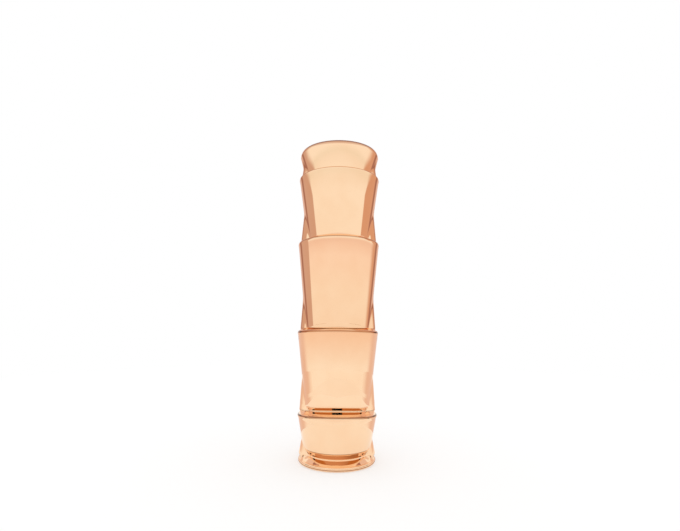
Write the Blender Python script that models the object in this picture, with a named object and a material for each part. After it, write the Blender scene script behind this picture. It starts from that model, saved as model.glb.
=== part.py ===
"""Tiered lipstick case with a pull-off cap, a lift-out refill and a twist-up bullet.

The case stands on its foot at z = 0 with its axis on +Z. Its wall is a stack of flared tiers:
every tier is a round cup that tapers downwards, with a narrow waisted skirt on its left (-X)
and right (+X) sides that widens downwards until it runs into the rim of the tier below.
The cap is the upper four tiers, and the base is the fifth tier and the foot.

Lengths are written in millimetres and turned into metres when a mesh is built.
"""

import math
from collections import namedtuple

import bmesh
import bpy
from mathutils import Matrix, Vector

MM = 0.001

# --- driving dimensions, in millimetres ---------------------------------------------------

CASE_HEIGHT = 91.8
PARTING_Z = 15.8            # plane where the cap meets the base
GAP = 0.3                   # clearance between neighbouring solids
BULLET_TRAVEL = 22.5        # how far the cup rises
TWIST_TURNS = 1.5           # turns of the sleeve for that travel

WALL_SEGMENTS = 48          # facets round the outer wall
TUBE_SEGMENTS = 36          # facets round the turned pieces
SHARP_ANGLE = 32            # degrees above which an edge is shaded as a crease

# The outer wall
SKIRT_POWER = 2.4           # how square the skirt's plan is
WAIST_POWER = 1.1           # how the skirt's side curves from the rim to the waist
BLEND = 0.25                # width of the soft crease between cup and skirt
RIM_DROOP = 0.4             # how much lower a rim is at the sides than at the front

# One tier of the wall. The cup tapers from the rim to the cut edge, is undercut to the corner,
# and the ledge runs from the corner out to the rim of the tier below.
Tier = namedtuple("Tier", "rim_z rim_r fillet cut_z cut_r corner_z corner_r "
                          "waist_z waist_r skirt_foot skirt_depth steps")

CAP_TIERS = [
    Tier(CASE_HEIGHT, 11.7, 1.9, 84.4, 9.9, 84.0, 9.5, 86.4, 10.95, 11.3, 5.6, 3),
    Tier(83.8, 11.95, 0.6, 64.9, 9.3, 64.5, 8.95, 72.6, 10.5, 11.25, 5.2, 7),
    Tier(64.4, 12.0, 0.8, 38.6, 9.6, 38.3, 9.2, 48.0, 10.42, 11.1, 5.2, 8),
    Tier(38.4, 11.85, 0.8, 17.0, 9.65, PARTING_Z, 9.05, 24.6, 10.43, 11.1, 5.2, 7),
]
BASE_TIER = Tier(14.9, 11.6, 0.8, 4.2, 9.8, 2.55, 8.7, 6.6, 10.3, 11.1, 5.2, 5)
FOOT_RADIUS = 11.2
FOOT_RIM_Z = 1.3
FOOT_FILLET = 0.6
FOOT_BOTTOM_FILLET = 0.7

# The cap's inside
CAVITY_RADIUS = 8.4
CAVITY_TOP_Z = 88.9
LIP_BORE = 7.95             # the cap shell's mouth
LIP_TOP_Z = 18.4
LINER_RADIUS = 8.1
LINER_BORE = 7.75
LINER_TOP_Z = 86.6
LINER_ROOF = 0.6
CLIP_BORE = 7.65
CLIP_HEIGHT = 1.6

# The base's inside
PLATE_RECESS = 1.3          # depth of the recess for the plate under the foot
PLATE_RADIUS = 9.2
PLATE_HEIGHT = 0.45
LABEL_RADIUS = 7.4
LABEL_LOW_Z = 0.05
LABEL_HEIGHT = 0.2
WEIGHT_RADIUS = 7.9
WEIGHT_TOP_Z = 2.7
BASE_BORE = 8.2
BASE_FLOOR_Z = 3.6
MAGNET_RADIUS = 4.0
HOLDER_RADIUS = 7.9
HOLDER_BORE = 7.2
HOLDER_LOW_Z = 5.6
HOLDER_FLOOR = 0.7

# The refill
REFILL_FOOT_RADIUS = 6.9
REFILL_FOOT_BORE = 6.25
REFILL_LOW_Z = HOLDER_LOW_Z + HOLDER_FLOOR + GAP
REFILL_FLOOR = 1.4
REFILL_TOP_Z = PARTING_Z - GAP
KEEPER_HEIGHT = 0.8
INNER_RADIUS = 5.95
INNER_BORE = 5.55
INNER_TOP_Z = 49.4
INNER_FLOOR = 1.0
SLOT_WIDTH = 2.0
SLOT_MARGIN = 1.6           # slot length beyond the lugs' travel at each end
SLOT_REACH = 8.0            # half length of the slots' cutter

# The twist sleeve, with the spiral and the drag ring inside it
SLEEVE_TOP_Z = 51.0
SLEEVE_LOW_Z = PARTING_Z + 0.25
SLEEVE_RADIUS = 7.45
SLEEVE_BORE = 7.0
SLEEVE_LIP_BORE = 5.75
SLEEVE_BEVEL = 0.5
LIP_HEIGHT = 0.8
BEAD_HEIGHT = 2.4           # height of the grip bead above the sleeve's lower end
BEAD_REACH = 0.12
BEAD_HALF_WIDTH = 0.5
DRAG_LOW_Z = 17.3
DRAG_HEIGHT = 0.8
SPIRAL_RADIUS = 6.72
SPIRAL_BORE = 6.2
SPIRAL_LOW_Z = DRAG_LOW_Z + DRAG_HEIGHT + GAP
SPIRAL_TOP_Z = 49.6
GROOVE_RADIUS = 6.5
GROOVE_HEIGHT = 2.0
GROOVE_STARTS = 2           # one helical groove for each lug

# The cup and the bullet
CUP_RADIUS = 5.25
CUP_LOW_Z = 18.4
CUP_HEIGHT = 8.2
CUP_FLOOR = 0.9
LUG_Z = 19.7                # height of the lugs when the bullet is down
LUG_REACH = 6.38
LUG_WIDTH = 1.2
LUG_ROOT = 0.2              # how deep a lug is set into the cup's wall
BULLET_RADIUS = 4.7
CUP_BORE = BULLET_RADIUS + 0.25
BULLET_TIP_Z = 47.0
SLANT_DROP = 7.0            # how much lower the bullet's slice is on its low side
NOSE = 1.3                  # rounding of the slice's edge
SHOULDER = 2.0              # straight bar below the slice's low side
CROWN = 0.15                # how far the slice's centre stands above its edge


def clear_scene():
    for obj in list(bpy.data.objects):
        bpy.data.objects.remove(obj, do_unlink=True)


def make_material(name, color, roughness, metallic):
    material = bpy.data.materials.new(name)
    material.use_nodes = True
    shader = material.node_tree.nodes["Principled BSDF"]
    shader.inputs["Base Color"].default_value = (*color, 1.0)
    shader.inputs["Roughness"].default_value = roughness
    shader.inputs["Metallic"].default_value = metallic
    material.diffuse_color = (*color, 1.0)
    return material


# --- outlines and lofts -------------------------------------------------------------------

def smooth_max(a, b, width):
    overlap = max(width - abs(a - b), 0.0) / width
    return max(a, b) + overlap * overlap * width / 4


def skirt_radius(angle, half_width, half_depth):
    across = abs(math.cos(angle) / half_width) ** SKIRT_POWER
    along = abs(math.sin(angle) / half_depth) ** SKIRT_POWER
    return (across + along) ** (-1.0 / SKIRT_POWER)


def wall_ring(z, cup, skirt=None, depth=None, droop=0.0):
    """A closed ring of the outer wall: a round cup joined with the two side skirts."""
    points = []
    for index in range(WALL_SEGMENTS):
        angle = math.tau * index / WALL_SEGMENTS
        radius = cup
        if skirt is not None:
            radius = smooth_max(cup, skirt_radius(angle, skirt, depth), BLEND)
        height = z - droop * math.cos(angle) ** 2
        points.append((radius * math.cos(angle), radius * math.sin(angle), height))
    return points


def round_ring(radius, z, segments):
    if radius == 0:
        return [(0.0, 0.0, z)]
    turns = [math.tau * i / segments for i in range(segments)]
    return [(radius * math.cos(turn), radius * math.sin(turn), z) for turn in turns]


def between(a, b, share):
    return a + (b - a) * share


def fillet_points(radius, z_top, size, steps):
    """Radius and height along a quarter round from the top face down to the side."""
    for index in range(steps + 1):
        turn = math.pi / 2 * index / steps
        yield radius - size * (1 - math.sin(turn)), z_top - size * (1 - math.cos(turn))


def rim_rings(tier, steps=3, droop=RIM_DROOP):
    return [wall_ring(z, radius, droop=droop)
            for radius, z in fillet_points(tier.rim_r, tier.rim_z, tier.fillet, steps)]


def skirt_half_width(tier, z):
    """The skirt narrows from the rim to its waist and then widens to its foot."""
    top = tier.rim_z - tier.fillet
    if z >= tier.waist_z:
        share = (z - tier.waist_z) / (top - tier.waist_z)
        return between(tier.waist_r, tier.rim_r, share ** WAIST_POWER)
    share = (tier.waist_z - z) / (tier.waist_z - tier.corner_z)
    return between(tier.waist_r, tier.skirt_foot, share)


def tier_rings(tier):
    """Rings from below the rim's fillet down to the corner under the cup's cut edge."""
    top = tier.rim_z - tier.fillet
    rings = []
    for index in range(1, tier.steps + 1):
        share = index / tier.steps
        z = between(top, tier.cut_z, share)
        rings.append(wall_ring(z, between(tier.rim_r, tier.cut_r, share),
                               skirt_half_width(tier, z), tier.skirt_depth))
    rings.append(wall_ring(tier.corner_z, tier.corner_r, tier.skirt_foot, tier.skirt_depth))
    return rings


def join_rings(bm, lower, upper):
    """Faces between two neighbouring rings, either of which may be a single pole."""
    count = max(len(lower), len(upper))
    for i in range(count):
        j = (i + 1) % count
        if len(lower) == 1:
            bm.faces.new((lower[0], upper[i], upper[j]))
        elif len(upper) == 1:
            bm.faces.new((lower[i], upper[0], lower[j]))
        else:
            bm.faces.new((lower[i], upper[i], upper[j], lower[j]))


def loft_mesh(name, rings, closed=False):
    """A closed solid through the rings. With closed set, the last ring joins the first."""
    bm = bmesh.new()
    rows = [[bm.verts.new(Vector(point) * MM) for point in ring] for ring in rings]
    for row, next_row in zip(rows, rows[1:]):
        join_rings(bm, row, next_row)
    if closed:
        join_rings(bm, rows[-1], rows[0])
    bmesh.ops.recalc_face_normals(bm, faces=bm.faces)
    mesh = bpy.data.meshes.new(name)
    bm.to_mesh(mesh)
    bm.free()
    return mesh


def add_object(name, mesh, material, parent):
    """Add a piece whose mesh is in world coordinates and whose origin is its parent's."""
    mesh.materials.append(material)
    mesh.shade_smooth()
    mesh.set_sharp_from_angle(angle=math.radians(SHARP_ANGLE))
    obj = bpy.data.objects.new(name, mesh)
    bpy.context.collection.objects.link(obj)
    obj.parent = parent
    mesh.transform(Matrix.Translation(-parent.location))
    return obj


def turned(name, profile, material, parent, segments=TUBE_SEGMENTS):
    """A solid of revolution from (radius, height) points; a radius of 0 is a pole."""
    rings = [round_ring(radius, z, segments) for radius, z in profile]
    closed = profile[0][0] != 0
    return add_object(name, loft_mesh(name, rings, closed), material, parent)


def tube(name, outer, bore, z_low, z_high, material, parent):
    profile = [(outer, z_high), (outer, z_low), (bore, z_low), (bore, z_high)]
    return turned(name, profile, material, parent)


def disc(name, radius, z_low, z_high, material, parent):
    profile = [(0, z_high), (radius, z_high), (radius, z_low), (0, z_low)]
    return turned(name, profile, material, parent)


def box_mesh(name, low, high):
    bm = bmesh.new()
    bmesh.ops.create_cube(bm, size=1.0)
    for vert in bm.verts:
        for axis in range(3):
            vert.co[axis] = between(low[axis], high[axis], vert.co[axis] + 0.5) * MM
    mesh = bpy.data.meshes.new(name)
    bm.to_mesh(mesh)
    bm.free()
    return mesh


def combine(target, tool, operation):
    """Cut the tool out of the target, or join it to the target, with an exact Boolean."""
    modifier = target.modifiers.new(tool.name, "BOOLEAN")
    modifier.operation = operation
    modifier.solver = "EXACT"
    modifier.object = tool
    tool.hide_render = True
    tool.display_type = "WIRE"


def joint_empty(name, height):
    """An empty on the case's axis, which carries the pieces that move together."""
    empty = bpy.data.objects.new(name, None)
    bpy.context.collection.objects.link(empty)
    empty.location = (0, 0, height * MM)
    return empty


# --- the cap ------------------------------------------------------------------------------

def build_cap(body, gold, liner_plastic, clip_plastic, steel):
    mouth_z = PARTING_Z + GAP / 2
    rings = [round_ring(0, CASE_HEIGHT, 1)]
    rings += rim_rings(CAP_TIERS[0], steps=5, droop=0.0) + tier_rings(CAP_TIERS[0])
    for tier in CAP_TIERS[1:]:
        rings += rim_rings(tier) + tier_rings(tier)
    last = CAP_TIERS[-1]
    rings[-1] = wall_ring(mouth_z, last.corner_r, last.skirt_foot, last.skirt_depth)
    inside = [(LIP_BORE, mouth_z), (LIP_BORE, LIP_TOP_Z), (CAVITY_RADIUS, LIP_TOP_Z),
              (CAVITY_RADIUS, CAVITY_TOP_Z), (0, CAVITY_TOP_Z)]
    rings += [round_ring(radius, z, WALL_SEGMENTS) for radius, z in inside]
    add_object("cap_shell", loft_mesh("cap_shell", rings), gold, body)

    clip_low = LIP_TOP_Z + GAP
    clip_high = clip_low + CLIP_HEIGHT
    tube("cap_clip_ring", LINER_RADIUS, CLIP_BORE, clip_low, clip_high, clip_plastic, body)

    liner_low = clip_high + GAP
    roof_low = LINER_TOP_Z - LINER_ROOF
    liner = [(0, LINER_TOP_Z), (LINER_RADIUS, LINER_TOP_Z), (LINER_RADIUS, liner_low),
             (LINER_BORE, liner_low), (LINER_BORE, roof_low), (0, roof_low)]
    turned("cap_liner", liner, liner_plastic, body)
    disc("cap_weight", LINER_RADIUS, LINER_TOP_Z + GAP, CAVITY_TOP_Z - GAP, steel, body)


# --- the base -----------------------------------------------------------------------------

def base_wall_rings():
    """The base's outer wall, from the parting plane down to the edge of its underside."""
    above = CAP_TIERS[-1]
    top_z = PARTING_Z - GAP / 2
    rings = [wall_ring(top_z, above.corner_r, above.skirt_foot, above.skirt_depth)]
    rings += rim_rings(BASE_TIER) + tier_rings(BASE_TIER)
    size = FOOT_BOTTOM_FILLET
    rings += [wall_ring(z, radius) for radius, z in fillet_points(FOOT_RADIUS, FOOT_RIM_Z, FOOT_FILLET, 2)]
    lower = [wall_ring(size - z, radius) for radius, z in fillet_points(FOOT_RADIUS, size, size, 2)]
    return rings + lower[::-1]


def build_base(body, gold, steel, plate_finish, plastic, magnet_finish, film):
    plate_bore = PLATE_RADIUS + GAP
    weight_bore = WEIGHT_RADIUS + GAP
    socket = [(0, BASE_FLOOR_Z), (BASE_BORE, BASE_FLOOR_Z), (BASE_BORE, PARTING_Z - GAP / 2)]
    underside = [(plate_bore, 0), (plate_bore, PLATE_RECESS), (weight_bore, PLATE_RECESS),
                 (weight_bore, WEIGHT_TOP_Z + GAP), (0, WEIGHT_TOP_Z + GAP)]
    rings = [round_ring(radius, z, WALL_SEGMENTS) for radius, z in socket]
    rings += base_wall_rings()
    rings += [round_ring(radius, z, WALL_SEGMENTS) for radius, z in underside]
    add_object("base_shell", loft_mesh("base_shell", rings), gold, body)

    plate_top = PLATE_RECESS - GAP
    disc("base_plate", PLATE_RADIUS, plate_top - PLATE_HEIGHT, plate_top, plate_finish, body)
    disc("base_label", LABEL_RADIUS, LABEL_LOW_Z, LABEL_LOW_Z + LABEL_HEIGHT, film, body)
    disc("base_weight", WEIGHT_RADIUS, PLATE_RECESS, WEIGHT_TOP_Z, steel, body)
    magnet_low = BASE_FLOOR_Z + GAP
    disc("base_magnet", MAGNET_RADIUS, magnet_low, HOLDER_LOW_Z - GAP, magnet_finish, body)

    holder_top = PARTING_Z - 2 * GAP
    floor_top = HOLDER_LOW_Z + HOLDER_FLOOR
    magnet_bore = MAGNET_RADIUS + GAP
    holder = [(0, floor_top), (HOLDER_BORE, floor_top), (HOLDER_BORE, holder_top),
              (HOLDER_RADIUS, holder_top), (HOLDER_RADIUS, magnet_low),
              (magnet_bore, magnet_low), (magnet_bore, HOLDER_LOW_Z), (0, HOLDER_LOW_Z)]
    turned("base_holder", holder, plastic, body)


# --- the refill ---------------------------------------------------------------------------

def build_refill(body, plastic, steel, inner_plastic):
    floor_top = REFILL_LOW_Z + REFILL_FLOOR
    foot = [(0, floor_top), (REFILL_FOOT_BORE, floor_top), (REFILL_FOOT_BORE, REFILL_TOP_Z),
            (REFILL_FOOT_RADIUS, REFILL_TOP_Z), (REFILL_FOOT_RADIUS, REFILL_LOW_Z), (0, REFILL_LOW_Z)]
    turned("refill_foot", foot, plastic, body)

    keeper_low = floor_top + GAP
    keeper_top = keeper_low + KEEPER_HEIGHT
    disc("refill_keeper", INNER_RADIUS, keeper_low, keeper_top, steel, body)

    inner_low = keeper_top + GAP
    profile = [(0, inner_low + INNER_FLOOR), (INNER_BORE, inner_low + INNER_FLOOR),
               (INNER_BORE, INNER_TOP_Z), (INNER_RADIUS, INNER_TOP_Z),
               (INNER_RADIUS, inner_low), (0, inner_low)]
    inner = turned("inner_body", profile, inner_plastic, body)
    slot_low = (-SLOT_REACH, -SLOT_WIDTH / 2, LUG_Z - SLOT_MARGIN)
    slot_high = (SLOT_REACH, SLOT_WIDTH / 2, LUG_Z + BULLET_TRAVEL + SLOT_MARGIN)
    slot = add_object("slot_cutter", box_mesh("slot_cutter", slot_low, slot_high), inner_plastic, body)
    combine(inner, slot, "DIFFERENCE")


# --- the twist sleeve ---------------------------------------------------------------------

def spiral_bore_rows(spacing):
    """Radius and height of the bore's rows at angle 0: each groove has two edges and two walls."""
    rows = []
    for turn in range(-2, math.ceil(BULLET_TRAVEL / spacing) + 4):
        middle = LUG_Z + turn * spacing
        low, high = middle - GROOVE_HEIGHT / 2, middle + GROOVE_HEIGHT / 2
        rows += [(SPIRAL_BORE, low), (GROOVE_RADIUS, low), (GROOVE_RADIUS, high), (SPIRAL_BORE, high)]
    return rows


def add_helical_bore(bm):
    """The spiral's bore: a grid whose rows climb as their angle falls."""
    pitch = BULLET_TRAVEL / TWIST_TURNS
    rows = spiral_bore_rows(pitch / GROOVE_STARTS)
    rows_per_pitch = 4 * GROOVE_STARTS
    columns = []
    for index in range(TUBE_SEGMENTS):
        angle = math.tau * index / TUBE_SEGMENTS
        drop = pitch * index / TUBE_SEGMENTS
        across = Vector((math.cos(angle), math.sin(angle), 0))
        columns.append([bm.verts.new((across * radius + Vector((0, 0, z - drop))) * MM)
                        for radius, z in rows])
    for index, column in enumerate(columns):
        last = index == TUBE_SEGMENTS - 1
        after = columns[0] if last else columns[index + 1]
        shift = rows_per_pitch if last else 0
        for row in range(shift, len(rows) - 1):
            bm.faces.new((column[row], column[row + 1], after[row + 1 - shift], after[row - shift]))


def cut_square(bm, z, direction):
    """Cut the open walls square at a height and close them with an end face."""
    walls = bm.verts[:] + bm.edges[:] + bm.faces[:]
    result = bmesh.ops.bisect_plane(bm, geom=walls, dist=1e-8, plane_co=(0, 0, z * MM),
                                    plane_no=(0, 0, direction), clear_outer=True)
    rim = [item for item in result["geom_cut"] if isinstance(item, bmesh.types.BMEdge)]
    bmesh.ops.triangle_fill(bm, edges=rim, use_beauty=True)


def spiral_mesh(name):
    """A tube with a helical groove in its bore for each of the cup's lugs."""
    bm = bmesh.new()
    add_helical_bore(bm)
    outer = [[bm.verts.new(Vector(point) * MM) for point in round_ring(SPIRAL_RADIUS, z, TUBE_SEGMENTS)]
             for z in (SPIRAL_LOW_Z - 1, SPIRAL_TOP_Z + 1)]
    join_rings(bm, *outer)
    cut_square(bm, SPIRAL_LOW_Z, -1)
    cut_square(bm, SPIRAL_TOP_Z, 1)
    bmesh.ops.recalc_face_normals(bm, faces=bm.faces)
    mesh = bpy.data.meshes.new(name)
    bm.to_mesh(mesh)
    bm.free()
    return mesh


def build_sleeve(body, gold, plastic, rubber):
    lip_low = SLEEVE_TOP_Z - LIP_HEIGHT
    bead_z = SLEEVE_LOW_Z + BEAD_HEIGHT
    sleeve = [(SLEEVE_LIP_BORE, SLEEVE_TOP_Z), (SLEEVE_RADIUS - SLEEVE_BEVEL, SLEEVE_TOP_Z),
              (SLEEVE_RADIUS, SLEEVE_TOP_Z - SLEEVE_BEVEL), (SLEEVE_RADIUS, bead_z + BEAD_HALF_WIDTH),
              (SLEEVE_RADIUS + BEAD_REACH, bead_z), (SLEEVE_RADIUS, bead_z - BEAD_HALF_WIDTH),
              (SLEEVE_RADIUS, SLEEVE_LOW_Z), (SLEEVE_BORE, SLEEVE_LOW_Z),
              (SLEEVE_BORE, lip_low), (SLEEVE_LIP_BORE, lip_low)]
    turned("outer_sleeve", sleeve, gold, body)
    add_object("spiral_sleeve", spiral_mesh("spiral_sleeve"), plastic, body)
    tube("drag_ring", SPIRAL_RADIUS, SPIRAL_BORE, DRAG_LOW_Z, DRAG_LOW_Z + DRAG_HEIGHT, rubber, body)


# --- the cup and the bullet ---------------------------------------------------------------

def bullet_mesh(name, low_z):
    """The stick: a round bar whose end is sliced at a slant and softly rounded."""
    shoulder_z = BULLET_TIP_Z - SLANT_DROP - SHOULDER
    rings = [round_ring(0, low_z, 1), round_ring(BULLET_RADIUS, low_z, TUBE_SEGMENTS),
             round_ring(BULLET_RADIUS, shoulder_z, TUBE_SEGMENTS)]
    nose_steps = 3
    for step in range(nose_steps + 1):
        turn = math.pi / 2 * step / nose_steps
        radius = BULLET_RADIUS - NOSE * (1 - math.cos(turn))
        top_z = BULLET_TIP_Z - NOSE * (1 - math.sin(turn))
        slope = SLANT_DROP / BULLET_RADIUS / 2
        rings.append([(x, y, top_z - SLANT_DROP / 2 - slope * y)
                      for x, y, _ in round_ring(radius, 0, TUBE_SEGMENTS)])
    rings.append(round_ring(0, BULLET_TIP_Z - SLANT_DROP / 2 + CROWN, 1))
    return loft_mesh(name, rings)


def build_bullet(body, cup_metal, wax):
    floor_top = CUP_LOW_Z + CUP_FLOOR
    cup_top = CUP_LOW_Z + CUP_HEIGHT
    profile = [(0, floor_top), (CUP_BORE, floor_top), (CUP_BORE, cup_top), (CUP_RADIUS, cup_top),
               (CUP_RADIUS, CUP_LOW_Z), (0, CUP_LOW_Z)]
    cup = turned("bullet_cup", profile, cup_metal, body)
    half = LUG_WIDTH / 2
    for name, side in (("lug_left", -1), ("lug_right", 1)):
        near, far = sorted((side * (CUP_RADIUS - LUG_ROOT), side * LUG_REACH))
        block = box_mesh(name, (near, -half, LUG_Z - half), (far, half, LUG_Z + half))
        combine(cup, add_object(name, block, cup_metal, body), "UNION")
    add_object("bullet", bullet_mesh("bullet", floor_top + GAP), wax, body)


def main():
    clear_scene()
    rose_gold = (0.95, 0.64, 0.45)
    case_gold = make_material("case_gold", rose_gold, 0.06, 1.0)
    sleeve_gold = make_material("sleeve_gold", (0.93, 0.66, 0.48), 0.12, 1.0)
    cup_gold = make_material("cup_gold", (0.9, 0.68, 0.5), 0.2, 1.0)
    steel = make_material("steel", (0.55, 0.55, 0.56), 0.35, 1.0)
    magnet_nickel = make_material("magnet_nickel", (0.62, 0.61, 0.58), 0.22, 1.0)
    plate_gold = make_material("plate_gold", (0.9, 0.62, 0.45), 0.28, 1.0)
    black_plastic = make_material("black_plastic", (0.03, 0.03, 0.032), 0.4, 0.0)
    liner_plastic = make_material("liner_plastic", (0.05, 0.045, 0.045), 0.35, 0.0)
    clip_plastic = make_material("clip_plastic", (0.8, 0.79, 0.76), 0.4, 0.0)
    inner_plastic = make_material("inner_plastic", (0.86, 0.85, 0.82), 0.35, 0.0)
    spiral_plastic = make_material("spiral_plastic", (0.7, 0.7, 0.7), 0.4, 0.0)
    silicone = make_material("silicone", (0.5, 0.5, 0.52), 0.6, 0.0)
    wax = make_material("wax", (0.55, 0.03, 0.05), 0.32, 0.0)
    label_film = make_material("label_film", (0.85, 0.84, 0.82), 0.5, 0.0)

    base = joint_empty("base_frame", 0)
    cap = joint_empty("cap_pull_axis", PARTING_Z)
    refill = joint_empty("refill_pull_axis", REFILL_LOW_Z)
    sleeve = joint_empty("sleeve_twist_axis", SLEEVE_LOW_Z)
    bullet = joint_empty("cup_lift_axis", CUP_LOW_Z)

    build_cap(cap, case_gold, liner_plastic, clip_plastic, steel)
    build_base(base, case_gold, steel, plate_gold, black_plastic, magnet_nickel, label_film)
    build_refill(refill, black_plastic, steel, inner_plastic)
    build_sleeve(sleeve, sleeve_gold, spiral_plastic, silicone)
    build_bullet(bullet, cup_gold, wax)


main()
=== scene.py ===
"""Looks of the tiered lipstick case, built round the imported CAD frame.

The two mirror-polished shells are rebuilt with fine meshes, soft edges and creases, the twist-up
mechanism gets its moulded and turned detail, and every piece gets a procedural material.
Cards that only reflections see give the polished metal its bands. Lengths are in millimetres
until a mesh is built. Most outer sizes of the inner pieces come from the frame's boxes.
"""

import math
from collections import namedtuple

import bmesh
import bpy
from mathutils import Euler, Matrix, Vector


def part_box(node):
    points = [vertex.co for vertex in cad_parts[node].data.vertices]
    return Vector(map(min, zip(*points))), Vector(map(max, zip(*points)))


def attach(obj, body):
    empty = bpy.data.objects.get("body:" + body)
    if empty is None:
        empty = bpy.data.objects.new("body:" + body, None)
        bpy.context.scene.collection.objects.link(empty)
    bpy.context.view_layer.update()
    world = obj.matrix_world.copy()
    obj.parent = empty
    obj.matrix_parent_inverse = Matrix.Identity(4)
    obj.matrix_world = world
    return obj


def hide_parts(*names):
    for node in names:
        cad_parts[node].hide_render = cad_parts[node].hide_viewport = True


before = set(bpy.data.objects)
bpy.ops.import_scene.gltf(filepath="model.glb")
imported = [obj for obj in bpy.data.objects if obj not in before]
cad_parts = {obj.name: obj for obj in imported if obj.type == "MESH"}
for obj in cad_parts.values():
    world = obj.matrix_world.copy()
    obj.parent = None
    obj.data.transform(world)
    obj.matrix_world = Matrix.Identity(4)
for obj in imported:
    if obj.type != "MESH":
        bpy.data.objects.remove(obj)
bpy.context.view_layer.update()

MM = 0.001


# --- sizes read from the frame, in millimetres --------------------------------------------

def low(node, axis=2):
    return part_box(node)[0][axis] / MM


def high(node, axis=2):
    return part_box(node)[1][axis] / MM


TOP_Z = high("cap_shell")
PARTING_Z = (low("cap_shell") + high("base_shell")) / 2
GAP = 0.3                   # clearance between two of the frame's solids
SEAM = 0.05                 # visible gap between the closed cap and the base


# --- camera -------------------------------------------------------------------------------

CAMERA_DISTANCE = 135.2     # in front of the case's axis
CAMERA_HEIGHT = 40.76       # above the floor
CAMERA_SIDE = 0.5
CAMERA_LENS = 23.93
CAMERA_PITCH = 4.33         # degrees upwards
CAMERA_ROLL = 0.52          # degrees
CAMERA_SHIFT = 0.03         # share of the frame's width


def add_camera():
    data = bpy.data.cameras.new("camera")
    data.lens = CAMERA_LENS
    data.shift_y = CAMERA_SHIFT
    data.clip_start = 0.01
    data.clip_end = 10
    camera = bpy.data.objects.new("camera", data)
    bpy.context.collection.objects.link(camera)
    camera.location = Vector((CAMERA_SIDE, -CAMERA_DISTANCE, CAMERA_HEIGHT)) * MM
    look = Euler((math.radians(90 + CAMERA_PITCH), 0, 0)).to_matrix()
    roll = Euler((0, 0, math.radians(CAMERA_ROLL))).to_matrix()
    camera.rotation_euler = (look @ roll).to_euler()
    bpy.context.scene.camera = camera


# --- mesh helpers -------------------------------------------------------------------------

def between(a, b, share):
    return a + (b - a) * share


def smooth_max(a, b, width):
    overlap = max(width - abs(a - b), 0.0) / width
    return max(a, b) + overlap * overlap * width / 4


SEGMENTS = 240              # facets round the outer wall
TURNED_SEGMENTS = 128       # facets round most of the turned pieces
CREASE_ANGLE = 38           # degrees above which an edge is shaded as a crease
SUPPORT = 0.05              # distance of the ring that keeps a fillet's shading off a flat side


def round_ring(radius, z, segments=SEGMENTS):
    if radius == 0:
        return [(0.0, 0.0, z)]
    turns = [math.tau * i / segments for i in range(segments)]
    return [(radius * math.cos(t), radius * math.sin(t), z) for t in turns]


def join_rings(bm, lower, upper):
    count = max(len(lower), len(upper))
    for i in range(count):
        j = (i + 1) % count
        if len(lower) == 1:
            bm.faces.new((lower[0], upper[i], upper[j]))
        elif len(upper) == 1:
            bm.faces.new((lower[i], upper[0], lower[j]))
        else:
            bm.faces.new((lower[i], upper[i], upper[j], lower[j]))


def loft(name, rings, closed=False, sharp=CREASE_ANGLE):
    """A closed, smooth-shaded solid through the rings."""
    bm = bmesh.new()
    rows = [[bm.verts.new(Vector(point) * MM) for point in ring] for ring in rings]
    for row, next_row in zip(rows, rows[1:]):
        join_rings(bm, row, next_row)
    if closed:
        join_rings(bm, rows[-1], rows[0])
    bmesh.ops.recalc_face_normals(bm, faces=bm.faces)
    mesh = bpy.data.meshes.new(name)
    bm.to_mesh(mesh)
    bm.free()
    mesh.shade_smooth()
    mesh.set_sharp_from_angle(angle=math.radians(sharp))
    obj = bpy.data.objects.new(name, mesh)
    bpy.context.collection.objects.link(obj)
    return obj


def turned(name, profile, segments=TURNED_SEGMENTS):
    """A solid of revolution. A profile that starts on the axis also ends there."""
    rings = [round_ring(radius, z, segments) for radius, z in profile]
    return loft(name, rings, closed=profile[0][0] != 0)


def towards(start, end, distance):
    """The point at a distance from start, and never past the middle of the way to end."""
    length = math.hypot(end[0] - start[0], end[1] - start[1])
    share = min(distance, 0.45 * length) / length
    return between(start[0], end[0], share), between(start[1], end[1], share)


def rounded_corner(before, corner, after, size, steps=5):
    """Points along a curve that rounds one corner of an outline."""
    start, end = towards(corner, before, size), towards(corner, after, size)
    for step in range(steps + 1):
        share = step / steps
        first = [between(a, b, share) for a, b in zip(start, corner)]
        second = [between(a, b, share) for a, b in zip(corner, end)]
        yield tuple(between(a, b, share) for a, b in zip(first, second))


def softened(outline, size):
    """An outline with its corners rounded. Corners on the axis are left as they are."""
    result = []
    for i, corner in enumerate(outline):
        before, after = outline[i - 1], outline[(i + 1) % len(outline)]
        if corner[0] == 0:
            result.append(corner)
            continue
        result.append(towards(corner, before, size + SUPPORT))
        result += rounded_corner(before, corner, after, size)
        result.append(towards(corner, after, size + SUPPORT))
    return result


def arc_points(centre_r, centre_z, size, start, end, steps):
    """Points (radius, height) on an arc, with its angles in degrees from +radius towards +z."""
    for index in range(steps + 1):
        turn = math.radians(between(start, end, index / steps))
        yield centre_r + size * math.cos(turn), centre_z + size * math.sin(turn)


# --- the outer wall -----------------------------------------------------------------------

# Each tier is a cup that tapers from its rim to a cut edge, is undercut to a corner, and stands
# on the ledge of the tier below. Its side skirts narrow to a waist and widen to their foot.
# The droops are how much lower the rim and the cut edge are at the sides than at the front.
SKIRT_POWER = 2.4           # how square the skirt's plan is
WAIST_POWER = 1.1           # how the skirt's side curves from the rim to the waist
BLEND = 0.32                # width of the soft crease between cup and skirt
GROOVE_DROOP = 0.95         # how much lower the groove over the base is at the sides
RIM_DROOP_REACH = 1.5       # height under the rim's fillet over which its droop fades
CUT_DROOP_REACH = 4.0       # height above the cut edge over which its droop fades

Tier = namedtuple("Tier", "rim_z rim_r fillet cut_z cut_r corner_z corner_r "
                          "waist_z waist_r skirt_foot skirt_depth droop cut_droop")

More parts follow.
